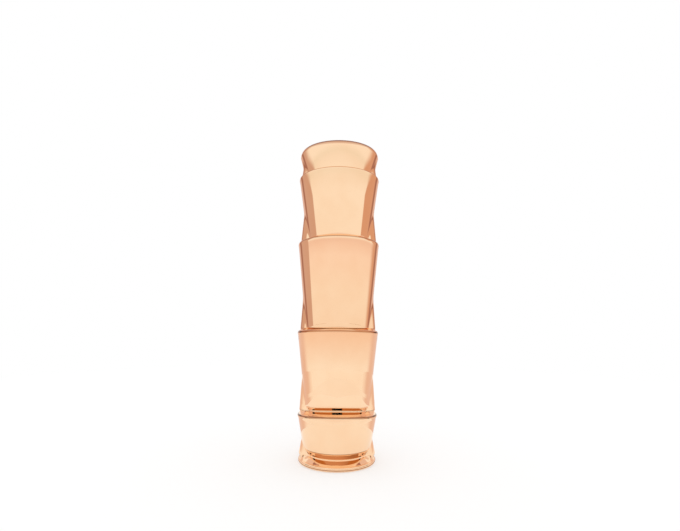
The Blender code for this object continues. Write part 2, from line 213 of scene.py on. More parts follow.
TIERS = [
    Tier(TOP_Z, 11.7, 1.9, 84.1, 9.85, 83.9, 9.5, 86.4, 10.95, 11.3, 5.6, 0.0, 0.0),
    Tier(83.8, 11.95, 0.6, 64.8, 9.3, 64.5, 8.95, 72.6, 10.5, 11.25, 5.2, 0.4, 0.0),
    Tier(64.4, 12.0, 0.8, 38.5, 9.6, 38.42, 9.3, 48.0, 10.42, 11.1, 5.2, 0.55, 0.0),
    Tier(38.4, 11.85, 0.8, 17.0, 9.65, PARTING_Z, 9.05, 24.6, 10.43, 11.1, 5.2, 0.65, GROOVE_DROOP),
    Tier(14.82, 11.6, 0.8, 4.35, 9.8, 2.55, 8.7, 6.6, 10.3, 11.1, 5.2, GROOVE_DROOP, 0.0),
]
CAP_TIERS, BASE_TIER = TIERS[:4], TIERS[4]

FOOT_RADIUS = 11.2
FOOT_RIM_Z = 1.28
FOOT_FILLET = 0.6
FOOT_BOTTOM_FILLET = 0.7
CUT_FILLET = 0.3
FACET = 0.14                # half height of the narrow upright face in a groove's corner
PANEL_STEP = 0.5            # height between two rings on a tier's panel
FIRST_STEP = 0.04           # distance from the rim's fillet to the panel's first ring
CUT_STEPS = (0.1, 0.5, 0.9, 1.0)
LEDGE_STEPS = (0.05, 0.35, 0.65, 0.95)
RIM_STEPS = 8               # facets round a rim's fillet
TOP_RIM_STEPS = 14

# The shells' inside
LIP_BORE = 7.95             # the cap's mouth
EDGE = 0.15                 # bevel on the edges of the bores
FLAT_MOUTH_RADIUS = 8.45    # the cap's mouth is level inside this radius and droops outside it

# Painted shade: a dark line painted into the metal's colour along each rim, in place of the dark
# reflections that the real rims show. Its colour as a factor on the metal's colour, the depths below
# the rim where it starts, is full, begins to fade and ends, and whether its ends at the case's sides
# are painted nearly black.
PaintedRimShade = namedtuple("PaintedRimShade", "color profile dark_ends")
PAINTED_RIM_SHADES = [
    PaintedRimShade((0.56, 0.42, 0.42), (-0.2, 0.0, 0.3, 1.3), False),
    PaintedRimShade((0.85, 0.8, 0.8), (0.1, 0.25, 0.35, 0.5), False),
    PaintedRimShade((0.6, 0.5, 0.45), (0.15, 0.3, 0.4, 0.6), False),
    PaintedRimShade((0.55, 0.32, 0.2), (0.2, 0.45, 0.65, 0.85), True),
    PaintedRimShade((0.36, 0.22, 0.14), (0.1, 0.25, 0.4, 0.6), True),
]
# Painted shade: near black, standing in for dark reflections at the ends of the lower rims' lines
PAINTED_DARK_END = (0.03, 0.02, 0.02)
PAINTED_DARK_END_TURNS = (58, 66, 100, 112)     # degrees from the front, as in band()
WHITE = (1.0, 1.0, 1.0)


def skirt_radius(angle, half_width, half_depth):
    across = abs(math.cos(angle) / half_width) ** SKIRT_POWER
    along = abs(math.sin(angle) / half_depth) ** SKIRT_POWER
    return (across + along) ** (-1.0 / SKIRT_POWER)


def wall_ring(z, cup, skirt=None, depth=None, droop=0.0):
    points = []
    for index in range(SEGMENTS):
        angle = math.tau * index / SEGMENTS
        radius = cup
        if skirt is not None:
            radius = smooth_max(cup, skirt_radius(angle, skirt, depth), BLEND)
        height = z - droop * math.cos(angle) ** 2
        points.append((radius * math.cos(angle), radius * math.sin(angle), height))
    return points


def rim_rings(tier, steps):
    centre_r = tier.rim_r - tier.fillet
    centre_z = tier.rim_z - tier.fillet
    return [wall_ring(z, r, droop=tier.droop)
            for r, z in arc_points(centre_r, centre_z, tier.fillet, 90, 0, steps)]


def skirt_half_width(tier, z):
    top = tier.rim_z - tier.fillet
    if z >= tier.waist_z:
        share = (z - tier.waist_z) / (top - tier.waist_z)
        return between(tier.waist_r, tier.rim_r, share ** WAIST_POWER)
    share = (tier.waist_z - z) / (tier.waist_z - tier.corner_z)
    return between(tier.waist_r, tier.skirt_foot, share)


def corner_facet(tier):
    """Half the height of the upright face in the corner. A shallow undercut has none."""
    return FACET if tier.cut_z - tier.corner_z > 1 else 0.0


def panel_rings(tier):
    """Rings down the tapering panel, round the cut edge and along the undercut."""
    top = tier.rim_z - tier.fillet
    facet = corner_facet(tier)
    rim = (tier.rim_r, top)
    edge = (tier.cut_r, tier.cut_z)
    corner = (tier.corner_r + facet / 2, tier.corner_z + facet)
    length, under = math.dist(rim, edge), math.dist(edge, corner)
    size = min(CUT_FILLET, 0.45 * under)
    start = [between(a, b, size / length) for a, b in zip(edge, rim)]
    end = [between(a, b, size / under) for a, b in zip(edge, corner)]
    count = max(4, round(length / PANEL_STEP))
    panel_shares = [FIRST_STEP / length] + [i / count for i in range(1, count)]
    outline = [(between(rim[0], start[0], share), between(top, start[1], share))
               for share in panel_shares]
    outline.append([between(a, b, (size + SUPPORT) / length) for a, b in zip(edge, rim)])
    outline += rounded_corner(rim, edge, corner, size)
    outline += [(between(end[0], corner[0], share), between(end[1], corner[1], share))
                for share in CUT_STEPS]
    if facet:
        outline.append((corner[0], tier.corner_z))
    rings = []
    for cup, z in outline:
        droop = tier.droop * max(0.0, 1 - (top - z) / RIM_DROOP_REACH)
        droop += tier.cut_droop * max(0.0, 1 - max(0.0, z - tier.cut_z) / CUT_DROOP_REACH)
        rings.append(wall_ring(z, cup, skirt_half_width(tier, z), tier.skirt_depth, droop))
    return rings


def ledge_rings(tier, below):
    """Rings from the corner under a tier out to the rim of the tier below."""
    facet = corner_facet(tier)
    inner = wall_ring(tier.corner_z - facet, tier.corner_r + facet / 2,
                      tier.skirt_foot, tier.skirt_depth, tier.cut_droop)
    outer = wall_ring(below.rim_z, below.rim_r - below.fillet, droop=below.droop)
    rings = [inner] if facet else []
    for share in LEDGE_STEPS:
        rings.append([tuple(between(a, b, share) for a, b in zip(p, q)) for p, q in zip(inner, outer)])
    return rings


def ease(value, start, end):
    """0 before start and 1 after end, with a smooth step between them."""
    share = min(max((value - start) / (end - start), 0.0), 1.0)
    return share * share * (3 - 2 * share)


def band(value, start, full, fade, end):
    """Rises from start to full, and falls from fade to end."""
    return ease(value, start, full) * (1 - ease(value, fade, end))


def blend_color(first, second, share):
    return tuple(between(a, b, share) for a, b in zip(first, second))


def rim_shade_color(x, y, z):
    """Colour of the painted shade line that follows each rim, as a factor on the metal's colour."""
    radius = math.hypot(x, y)
    if radius < LIP_BORE:
        return WHITE
    turn = math.degrees(math.atan2(abs(x), -y))
    for tier, line in zip(TIERS, PAINTED_RIM_SHADES):
        depth = tier.rim_z - tier.droop * (x / radius) ** 2 - z
        if -0.01 < depth < tier.fillet + 0.1 and radius > tier.rim_r - tier.fillet + 0.02:
            side = band(turn, *PAINTED_DARK_END_TURNS) if line.dark_ends else 0.0
            color = blend_color(line.color, PAINTED_DARK_END, side)
            return blend_color(WHITE, color, band(depth, *line.profile))
    return WHITE


def painted_rim_shade(obj):
    """Stores the colour of the rims' painted shade lines on the wall's vertices."""
    layer = obj.data.color_attributes.new("painted_rim_shade", "FLOAT_COLOR", "POINT")
    for vert, item in zip(obj.data.vertices, layer.data):
        item.color = (*rim_shade_color(*(vert.co / MM)), 1.0)
    return obj


def round_rings(outline):
    return [round_ring(radius, z) for radius, z in outline]


def build_cap_shell():
    rings = round_rings([(0, TOP_Z), (3.0, TOP_Z), (6.0, TOP_Z), (8.0, TOP_Z)])
    for number, tier in enumerate(CAP_TIERS):
        rings += rim_rings(tier, TOP_RIM_STEPS if number == 0 else RIM_STEPS)
        rings += panel_rings(tier)
        if number < len(CAP_TIERS) - 1:
            rings += ledge_rings(tier, TIERS[number + 1])
    rings[-1] = [(x, y, z + SEAM / 2) for x, y, z in rings[-1]]
    mouth_z = PARTING_Z + SEAM / 2
    lip_top = low("cap_clip_ring") - GAP
    cavity = high("cap_liner", 0) + GAP
    roof = high("cap_weight") + GAP
    rings += round_rings([(FLAT_MOUTH_RADIUS, mouth_z), (LIP_BORE + EDGE, mouth_z),
                          (LIP_BORE, mouth_z + EDGE), (LIP_BORE, lip_top),
                          (cavity, lip_top), (cavity, roof), (0, roof)])
    return painted_rim_shade(loft("cap_wall", rings))


def build_base_shell():
    top_z = PARTING_Z - SEAM / 2
    socket_bore, socket_floor = high("base_holder", 0) + GAP, low("base_magnet") - GAP
    rings = round_rings([(0, socket_floor), (socket_bore, socket_floor),
                         (socket_bore, top_z - EDGE), (socket_bore + EDGE, top_z)])

    above = CAP_TIERS[-1]
    foot = Tier(FOOT_RIM_Z, FOOT_RADIUS, FOOT_FILLET, *[0] * 10)
    rings.append(wall_ring(top_z, above.corner_r + FACET / 2, above.skirt_foot,
                           above.skirt_depth, above.cut_droop))
    rings += ledge_rings(above, BASE_TIER) + rim_rings(BASE_TIER, RIM_STEPS) + panel_rings(BASE_TIER)
    rings += ledge_rings(BASE_TIER, foot) + rim_rings(foot, RIM_STEPS)

    size = FOOT_BOTTOM_FILLET
    rings += round_rings(arc_points(FOOT_RADIUS - size, size, size, 0, -90, RIM_STEPS))
    plate_bore, plate_roof = high("base_plate", 0) + GAP, high("base_plate") + GAP
    weight_bore, weight_roof = high("base_weight", 0) + GAP, high("base_weight") + GAP
    rings += round_rings([(plate_bore + EDGE, 0), (plate_bore, EDGE), (plate_bore, plate_roof),
                          (weight_bore, plate_roof), (weight_bore, weight_roof), (0, weight_roof)])
    return painted_rim_shade(loft("base_wall", rings))


# --- the pieces inside --------------------------------------------------------------------

def engraved(radius, z, depth=0.06, width=0.12):
    """Profile points of a fine line cut round a turned piece, going upwards."""
    return [(radius, z - width), (radius - depth, z - width / 3),
            (radius - depth, z + width / 3), (radius, z + width)]


def snap_bead(radius, z, reach, half_width):
    """Profile points of a round bead, going upwards. A negative reach points it inwards."""
    turns = [math.radians(degrees) for degrees in range(0, 181, 15)]
    return [(radius + reach * math.sin(t), z - half_width * math.cos(t)) for t in turns]


BEAD_REACH = 0.12
BEAD_HALF_WIDTH = 0.5
SLEEVE_BEAD_HEIGHT = 2.4    # of the grip bead above the sleeve's lower end
SLEEVE_WALL = 0.45
SLEEVE_LIP = 0.8
SLEEVE_LIP_BORE = 5.75
SLEEVE_FILLET = 0.22
SLEEVE_CLEAR = SLEEVE_FILLET + SUPPORT / 2      # height over the end where the straight side starts


def build_outer_sleeve():
    """The twist sleeve: a thin metal tube with a grip bead, two engraved lines and a rolled lip."""
    top, bottom = high("outer_sleeve"), low("outer_sleeve")
    radius = high("outer_sleeve", 0) - BEAD_REACH
    bore, lip_low = radius - SLEEVE_WALL, top - SLEEVE_LIP
    side = softened([(bore, bottom), (radius, bottom), (radius, top), (SLEEVE_LIP_BORE, top),
                     (SLEEVE_LIP_BORE, lip_low), (bore, lip_low)], SLEEVE_FILLET)
    # the side's detail goes between the rounded lower edge and the rounded upper edge
    start = next(i for i, (r, z) in enumerate(side) if r == radius and z > bottom + SLEEVE_CLEAR)
    detail = snap_bead(radius, bottom + SLEEVE_BEAD_HEIGHT, BEAD_REACH, BEAD_HALF_WIDTH)
    for line_z in (bottom + 4.2, bottom + 4.8, top - 2.2):
        detail += engraved(radius, line_z)
    return turned("twist_tube", side[:start + 1] + detail + side[start + 1:], 160)


STICK_TIP_Z = 47.0          # the slice's high side, before its edge is rounded
SLICE_DROP = 7.0
SLICE_NOSE = 1.3            # rounding of the slice's edge
SLICE_CROWN = 0.15          # how far the slice's centre stands above its edge
SHOULDER = 2.0              # straight bar below the slice's low side
NOSE_STEPS = 12


def build_bullet_wax():
    """The stick, sliced at a slant, with a softly rounded edge and a slightly domed face."""
    bottom, radius = low("bullet"), high("bullet", 0)
    shoulder = STICK_TIP_Z - SLICE_DROP - SHOULDER
    rings = [round_ring(size, z, TURNED_SEGMENTS) for size, z in (
        (0, bottom), (radius - 0.3, bottom), (radius, bottom + 0.3), (radius, bottom + 0.6),
        (radius, shoulder - 0.5), (radius, shoulder))]
    slope = SLICE_DROP / radius / 2
    for step in range(NOSE_STEPS + 1):
        turn = math.pi / 2 * step / NOSE_STEPS
        size = radius - SLICE_NOSE * (1 - math.cos(turn))
        face_z = STICK_TIP_Z - SLICE_DROP / 2 - SLICE_NOSE * (1 - math.sin(turn))
        rings.append(slanted_ring(size, face_z, slope))
    edge, face_z = radius - SLICE_NOSE, STICK_TIP_Z - SLICE_DROP / 2
    for share in (0.9, 0.7, 0.45, 0.2):
        rings.append(slanted_ring(edge * share, face_z + SLICE_CROWN * (1 - share ** 2), slope))
    rings.append(round_ring(0, face_z + SLICE_CROWN))
    return loft("wax_stick", rings, sharp=80)


def slanted_ring(radius, z, slope):
    """A ring on the slice, which is lower at the back."""
    return [(x, y, z - slope * y) for x, y, _ in round_ring(radius, 0, TURNED_SEGMENTS)]


LUG_HEIGHT = 1.3            # of the lugs' middle above the cup's underside
LUG_RADIUS = 0.6
LUG_ROOT = 5.0              # where a lug starts, inside the cup's wall


def lug_rings(side):
    """Rings along X of a round-ended peg on one side of the cup."""
    z, reach = low("bullet_cup") + LUG_HEIGHT, high("bullet_cup", 0)
    stations = [(LUG_ROOT, LUG_RADIUS), (reach - 0.2, LUG_RADIUS),
                (reach - 0.06, LUG_RADIUS - 0.06), (reach, LUG_RADIUS - 0.2)]
    turns = [math.tau * i / 24 for i in range(24)]
    rings = [[(side * LUG_ROOT, 0, z)]]
    rings += [[(side * x, side * radius * math.cos(t), z + radius * math.sin(t)) for t in turns]
              for x, radius in stations]
    return rings + [[(side * reach, 0, z)]]


CUP_BORE_GAP = 0.25         # between the cup's bore and the stick
CUP_FILLET = 0.14
CUP_CLEAR = CUP_FILLET + SUPPORT / 2


def build_cup():
    """The cup that grips the stick, with a rolled lip, engraved lines and its two lugs."""
    bottom, top, radius = low("bullet_cup"), high("bullet_cup"), high("bullet_cup", 1)
    floor_z, bore = low("bullet") - GAP, high("bullet", 0) + CUP_BORE_GAP
    outline = softened([(0, floor_z), (bore, floor_z), (bore, top), (radius, top),
                        (radius, bottom), (0, bottom)], CUP_FILLET)
    start = next(i for i, (r, z) in enumerate(outline) if r == radius and z < top - CUP_CLEAR)
    lines = engraved(radius, top - 0.8) + engraved(radius, top - 1.2)
    outline[start + 1:start + 1] = lines[::-1]
    cup = turned("stick_cup", outline)
    lugs = [loft("lug", lug_rings(side)) for side in (-1, 1)]
    return merged(cup, lugs)


def merged(obj, others):
    """Adds the others' meshes to the object's own mesh."""
    bm = bmesh.new()
    for part in (obj, *others):
        bm.from_mesh(part.data)
    bm.to_mesh(obj.data)
    bm.free()
    for part in others:
        bpy.data.objects.remove(part, do_unlink=True)
    return obj


FOOT_SEGMENTS = 360         # facets round the refill's fluted foot
FLUTE_COUNT = 30
FLUTES = [(0.0, 0.0), (0.05, 0.1), (0.1, 0.14), (0.9, 0.14), (0.95, 0.1), (1.0, 0.0)]


def fluted_ring(radius, z, depth):
    """A ring with shallow round grooves cut into it."""
    points = []
    for index in range(FOOT_SEGMENTS):
        turn = math.tau * index / FOOT_SEGMENTS
        cut = depth * max(0.0, math.cos(turn * FLUTE_COUNT)) ** 2
        points.append(((radius - cut) * math.cos(turn), (radius - cut) * math.sin(turn), z))
    return points


def build_refill_foot():
    """The refill's plastic foot: a cup with grip flutes round its wall and rounded rims."""
    bottom, top, radius = low("refill_foot"), high("refill_foot"), high("refill_foot", 0)
    bore, floor_z = high("inner_body", 0) + GAP, low("refill_keeper") - GAP
    upper = [(0, floor_z), (bore - 0.1, floor_z), (bore, floor_z + 0.1), (bore, top - 0.25),
             (bore + 0.08, top - 0.05), (bore + 0.2, top), (radius - 0.2, top),
             (radius - 0.06, top - 0.06), (radius, top - 0.2), (radius, top - 1.0)]
    lower = [(radius, bottom + 0.2), (radius - 0.06, bottom + 0.06), (radius - 0.2, bottom), (0, bottom)]
    rings = [round_ring(r, z, FOOT_SEGMENTS) for r, z in upper]
    rings += [fluted_ring(radius, between(top - 1.1, bottom + 1.0, share), depth)
              for share, depth in FLUTES]
    rings += [round_ring(r, z, FOOT_SEGMENTS) for r, z in lower]
    return loft("refill_cup", rings)


def build_base_holder():
    """The plastic socket that holds the refill: a pocket for the magnet below, a lead-in above."""
    bottom, top, radius = low("base_holder"), high("base_holder"), high("base_holder", 0)
    bore, floor_top = high("refill_foot", 0) + GAP, low("refill_foot") - GAP
    pocket, floor_low = high("base_magnet", 0) + GAP, high("base_magnet") + GAP
    outline = [(0, floor_top), (bore, floor_top), (bore, top - 0.4), (bore + 0.3, top), (radius, top),
               (radius, bottom), (pocket, bottom), (pocket, floor_low), (0, floor_low)]
    return turned("refill_socket", softened(outline, 0.15), 160)


def build_base_plate():
    """The plate under the foot, with a stepped border."""
    bottom, top, radius = low("base_plate"), high("base_plate"), high("base_plate", 0)
    outline = [(0, top), (radius, top), (radius, bottom), (radius - 0.7, bottom),
               (radius - 0.85, bottom + 0.08), (radius - 1.1, bottom + 0.08),
               (radius - 1.25, bottom), (0, bottom)]
    return turned("foot_plate", softened(outline, 0.05), 192)


LINER_WALL = 0.35
LINER_ROOF = 0.6


def build_cap_liner():
    """The cap's plastic liner, with a belled mouth."""
    bottom, top, radius = low("cap_liner"), high("cap_liner"), high("cap_liner", 0)
    bore, roof_low = radius - LINER_WALL, top - LINER_ROOF
    outline = [(0, roof_low), (bore, roof_low), (bore, bottom + 0.8), (radius - 0.15, bottom),
               (radius, bottom), (radius, top), (0, top)]
    return turned("liner_tube", softened(outline, 0.12), 160)


CLIP_WALL = 0.45


def build_clip_ring():
    """The ring that grips the sleeve: a tube with a rounded snap bead in its bore."""
    bottom, top, radius = low("cap_clip_ring"), high("cap_clip_ring"), high("cap_clip_ring", 0)
    bore = radius - CLIP_WALL + BEAD_REACH
    bead = snap_bead(bore, (bottom + top) / 2, -BEAD_REACH, BEAD_HALF_WIDTH)
    return turned("snap_ring", [(bore, bottom), *bead, (bore, top), (radius, top), (radius, bottom)], 160)


def build_magnet():
    """A disc with rounded edges."""
    bottom, top, radius = low("base_magnet"), high("base_magnet"), high("base_magnet", 0)
    outline = [(0, top), (radius, top), (radius, bottom), (0, bottom)]
    return turned("magnet_disc", softened(outline, 0.25))


# --- materials ----------------------------------------------------------------------------

class Shader:
    """A Principled material with its nodes, in object coordinates."""

    def __init__(self, name, color, roughness, metallic=0.0):
        self.material = bpy.data.materials.new(name)
        self.material.use_nodes = True
        self.nodes = self.material.node_tree.nodes
        self.links = self.material.node_tree.links
        self.bsdf = self.nodes["Principled BSDF"]
        self.bsdf.inputs["Base Color"].default_value = (*color, 1)
        self.bsdf.inputs["Roughness"].default_value = roughness
        self.bsdf.inputs["Metallic"].default_value = metallic
        self.coords = self.nodes.new("ShaderNodeTexCoord").outputs["Object"]
        self.bump_out = None

    def noise(self, scale, detail=3.0, stretch=(1, 1, 1), rough=0.5):
        mapping = self.nodes.new("ShaderNodeMapping")
        mapping.inputs["Scale"].default_value = stretch
        self.links.new(self.coords, mapping.inputs["Vector"])
        node = self.nodes.new("ShaderNodeTexNoise")
        node.inputs["Scale"].default_value = scale
        node.inputs["Detail"].default_value = detail
        node.inputs["Roughness"].default_value = rough
        self.links.new(mapping.outputs["Vector"], node.inputs["Vector"])
        return node.outputs["Fac"]

    def remap(self, value, low_in, high_in, low_out, high_out):
        node = self.nodes.new("ShaderNodeMapRange")
        for key, number in (("From Min", low_in), ("From Max", high_in),
                            ("To Min", low_out), ("To Max", high_out)):
            node.inputs[key].default_value = number
        self.links.new(value, node.inputs["Value"])
        return node.outputs["Result"]

    def vary_roughness(self, value, smooth, rough, low_in=0.35, high_in=0.65):
        self.links.new(self.remap(value, low_in, high_in, smooth, rough), self.bsdf.inputs["Roughness"])

    def vary_color(self, value, first, second, low_in=0.35, high_in=0.65):
        mix = self.nodes.new("ShaderNodeMix")
        mix.data_type = "RGBA"
        self.links.new(self.remap(value, low_in, high_in, 0, 1), mix.inputs["Factor"])
        mix.inputs[6].default_value = (*first, 1)
        mix.inputs[7].default_value = (*second, 1)
        self.links.new(mix.outputs[2], self.bsdf.inputs["Base Color"])

    def multiply_color(self, attribute):
        """Multiplies the base colour, which is linked already, by a colour stored on the mesh."""
        socket = self.bsdf.inputs["Base Color"]
        stored = self.nodes.new("ShaderNodeAttribute")
        stored.attribute_name = attribute
        mix = self.nodes.new("ShaderNodeMix")
        mix.data_type = "RGBA"
        mix.blend_type = "MULTIPLY"
        mix.inputs["Factor"].default_value = 1.0
        self.links.new(socket.links[0].from_socket, mix.inputs[6])
        self.links.new(stored.outputs["Color"], mix.inputs[7])
        self.links.new(mix.outputs[2], socket)

    def bump(self, value, depth_mm, strength=1.0):
        node = self.nodes.new("ShaderNodeBump")
        node.inputs["Strength"].default_value = strength
        node.inputs["Distance"].default_value = depth_mm * MM
        self.links.new(value, node.inputs["Height"])
        if self.bump_out is not None:
            self.links.new(self.bump_out, node.inputs["Normal"])
        self.bump_out = node.outputs["Normal"]
        self.links.new(self.bump_out, self.bsdf.inputs["Normal"])


def polished_gold(name, color, smooth, rough, painted_rim_shade_on=False):
    """Plated metal: a faint polishing wave, hairline scratches and a film of handling marks."""
    shader = Shader(name, color, smooth, 1.0)
    deeper = tuple(c * s for c, s in zip(color, (0.985, 0.955, 0.93)))
    shader.vary_color(shader.noise(140, 2), color, deeper)
    shader.vary_roughness(shader.noise(260, 5, rough=0.65), smooth, rough, 0.45, 0.75)
    shader.bump(shader.noise(220, 2), 0.0012)
    shader.bump(shader.noise(900, 2, stretch=(1, 1, 0.05)), 0.0002)
    # Painted shade: the rims' dark lines, stored on the mesh, darken the metal's colour
    if painted_rim_shade_on:
        shader.multiply_color("painted_rim_shade")
    return shader.material


def turned_metal(name, color, smooth, rough):
    """Metal off a lathe: fine rings round the axis."""
    shader = Shader(name, color, smooth, 1.0)
    rings = shader.noise(900, 2, stretch=(0.02, 0.02, 4))
    shader.vary_roughness(rings, smooth, rough)
    shader.bump(rings, 0.002)
    shader.vary_color(shader.noise(300, 3), color, tuple(c * 0.9 for c in color))
    return shader.material


def moulded_plastic(name, color, smooth, rough, grain_mm=0.004):
    """Injection-moulded plastic: spark-eroded grain, flow variation and a soft sheen."""
    shader = Shader(name, color, smooth)
    grain = shader.noise(5200, 2)
    shader.bump(grain, grain_mm)
    shader.vary_roughness(shader.noise(420, 4), smooth, rough)
    lighter = tuple(min(1, c * 1.12 + 0.004) for c in color)
    shader.vary_color(shader.noise(240, 3), color, lighter)
    return shader.material


def wax_material():
    """Lipstick wax: slightly uneven colour, a soft sheen and light just under the surface."""
    shader = Shader("wax", (0.5, 0.016, 0.03), 0.3)
    shader.vary_color(shader.noise(320, 4), (0.46, 0.012, 0.026), (0.55, 0.022, 0.04))
    shader.vary_roughness(shader.noise(700, 4), 0.24, 0.42)
    shader.bump(shader.noise(1500, 4), 0.004)
    shader.bsdf.inputs["Subsurface Weight"].default_value = 0.12
    shader.bsdf.inputs["Subsurface Radius"].default_value = (1.0, 0.3, 0.2)
    shader.bsdf.inputs["Subsurface Scale"].default_value = 0.0012
    return shader.material


def paint(obj, material):
    """Gives an object one material in place of any it has."""
    obj.data.materials.clear()
    obj.data.materials.append(material)


# --- stage --------------------------------------------------------------------------------

FLOOR_RADIUS = 280
FLOOR_DEPTH = 0.02          # of the floor below the foot, so that the two don't coincide
FLOOR_GREY = (0.6, 0.6, 0.6)
FLOOR_ROUGHNESS = 0.6
FLOOR_GLOW = 0.42


def world_light():
    world = bpy.data.worlds.new("studio")
    bpy.context.scene.world = world
    world.use_nodes = True
    world.node_tree.nodes["Background"].inputs["Color"].default_value = (*WHITE, 1)


def add_floor():
    bm = bmesh.new()
    bmesh.ops.create_circle(bm, cap_ends=True, segments=96, radius=FLOOR_RADIUS * MM)
    mesh = bpy.data.meshes.new("floor")
    bm.to_mesh(mesh)
    bm.free()
    floor = bpy.data.objects.new("floor", mesh)
    floor.location.z = -FLOOR_DEPTH * MM
    bpy.context.collection.objects.link(floor)
    material = bpy.data.materials.new("floor")
    material.use_nodes = True
    shader = material.node_tree.nodes["Principled BSDF"]
    shader.inputs["Base Color"].default_value = (*FLOOR_GREY, 1)
    shader.inputs["Roughness"].default_value = FLOOR_ROUGHNESS
    shader.inputs["Emission Color"].default_value = (*WHITE, 1)
    shader.inputs["Emission Strength"].default_value = FLOOR_GLOW
    shader.inputs["Specular IOR Level"].default_value = 0.0
    mesh.materials.append(material)


# --- what the polished metal mirrors ------------------------------------------------------

def level(z):
    """A card's edge at one height."""
    return [(0, z)]


def steps_between(first, last, count):
    return [between(first, last, i / count) for i in range(count + 1)]


def upright(radius, low_edge, high_edge, count):
    """The rows of a card that stands between two edges."""
    return [(radius, low_edge, high_edge, share) for share in steps_between(0, 1, count)]


def follow(points, place):
    """Straight-line interpolation through (place, value) points, held at both ends."""
    for (place_a, a), (place_b, b) in zip(points, points[1:]):
        if place <= place_b:
            return between(a, b, min(max((place - place_a) / (place_b - place_a), 0.0), 1.0))
    return points[-1][1]


def card_material(name):
    """A light whose colour is stored on the card's vertices."""
    material = bpy.data.materials.new(name)
    material.use_nodes = True
    nodes, links = material.node_tree.nodes, material.node_tree.links
    nodes.remove(nodes["Principled BSDF"])
    emission = nodes.new("ShaderNodeEmission")
    tint = nodes.new("ShaderNodeAttribute")
    tint.attribute_name = "tint"
    links.new(tint.outputs["Color"], emission.inputs["Color"])
    links.new(emission.outputs["Emission"], nodes["Material Output"].inputs["Surface"])
    return material


def lathe_card(name, rows, azimuths, color_at):
    """A card swept round the case's axis, coloured by color_at(azimuth, height).

    Only reflections see it. Azimuths are in degrees from the camera's side. Each row is
    (radius, low, high, share): it runs between two edges, and each edge is a list of
    (azimuth, height) points.
    """
    bm = bmesh.new()
    layer = bm.verts.layers.float_color.new("tint")
    grid = []
    for radius, low_edge, high_edge, share in rows:
        line = []
        for azimuth in azimuths:
            turn = math.radians(azimuth)
            z = between(follow(low_edge, abs(azimuth)), follow(high_edge, abs(azimuth)), share)
            vert = bm.verts.new(Vector((radius * math.sin(turn), -radius * math.cos(turn), z)) * MM)
            vert[layer] = (*color_at(azimuth, z), 1.0)
            line.append(vert)
        grid.append(line)
    for line, next_line in zip(grid, grid[1:]):
        for i in range(len(azimuths) - 1):
            bm.faces.new((line[i], line[i + 1], next_line[i + 1], next_line[i]))
    mesh = bpy.data.meshes.new(name)
    bm.to_mesh(mesh)
    bm.free()
    mesh.materials.append(card_material(name))
    card = bpy.data.objects.new(name, mesh)
    bpy.context.collection.objects.link(card)
    card.visible_camera = False
    card.visible_diffuse = False
    card.visible_shadow = False


BACK_BROWN = (0.42, 0.2, 0.15)
CREASE_BROWN = (0.4, 0.2, 0.16)
LEFT_TAN = (0.66, 0.46, 0.4)
RIGHT_TAN = (0.71, 0.43, 0.32)
SKIRT_TAN = (0.78, 0.56, 0.5)
LOW_TAN = (0.84, 0.64, 0.58)
ROOF_TAN = (0.78, 0.66, 0.63)
ROOF_BROWN = (0.45, 0.3, 0.26)
AMBER = (0.5, 0.23, 0.08)
FOOT_AMBER = (0.62, 0.4, 0.3)
FOOT_BROWN = (0.42, 0.25, 0.16)
CONTACT_SHADOW_BROWN = (0.5, 0.33, 0.26)
BLACK = (0.0, 0.0, 0.0)

RING_RADIUS = 30
RING_LOW_Z = 0.5
RING_TOP_Z = 110
RING_SEAM = 0.05            # keeps the two tones at WING_LOW_Z apart
WING_LOW_Z = 36.0           # the ring's sides are warm above this height and pale below it
STEP_Z = 63.8               # the front edges of the ring's warm sides step here
GROOVE_STRIP_RADIUS = 63
SIDE_BACK_RADIUS = 66
SIDE_BACK_TURNS = (84, 150)             # degrees from the front, on both sides
SIDE_BACK_TOP_Z = 34
FOOT_STRIP_RADIUS = 70
STRIP_REACH = 99            # degrees that the strips reach to either side
# Painted contact shadow: a dark ring on the floor round the foot that only reflections see
CONTACT_RADII = (11.3, 13.4)            # the dark ring round the foot
CONTACT_Z = 0.05
ROOF = [(60, 112), (75, 130), (80, 150), (70, 170), (45, 190), (20, 198), (0.5, 200)]

# Lower and upper edges of the ring's gaps and of the strips seen through them, as
# (azimuth, height) points
GROOVE_GAP = ([(0, 18.2), (23, 17.8), (47, 16.3), (75, 14.2), (95, 13.8)],
              [(0, 21.6), (23, 21.2), (47, 20.7), (75, 20.6), (95, 21.0)])
GROOVE_STRIP = ([(0, 24.4), (23, 23.4), (52, 19.6), (81, 14.6), (105, 13.8)],
                [(0, 29.0), (23, 28.5), (52, 27.0), (81, 26.0), (105, 28.0)])
FOOT_GAP = ([(0, 7.2), (45, 6.8), (55, 4.6), (95, 4.6), (110, 7.2)],
            [(0, 11.6), (45, 13.0), (75, 13.0), (95, 12.5)])
FOOT_STRIP = ([(0, 18.5), (45, 16.0), (60, 10.0)], [(0, 24.0), (50, 30.0)])

# Where the ring's warm sides start, in degrees from the front, and half the width of that
# edge, as (height, value) points
LEFT_EDGE = [(38, 82), (63.8, 78), (63.9, 75), (78, 74), (84, 80), (88, 90), (95, 90)]
RIGHT_EDGE = [(38, 98), (63.8, 94), (63.9, 74), (78, 71), (84, 79), (88, 88), (95, 88)]
EDGE_SOFTNESS = [(81, 1.5), (84, 8), (88, 12)]
LOW_RIGHT_SOFTNESS = 9

# Further round, in degrees from the front, as in band() or ease()
LOW_SIDE = (84, 108, 138, 150)
CREASE = (107, 114, 118, 128)
SKIRT_START = (120, 130)
BACK_START = (142, 158)
ROOF_BACK_START = (70, 150)
ROOF_SHADE = (112, 185)     # heights over which the roof's front gets darker

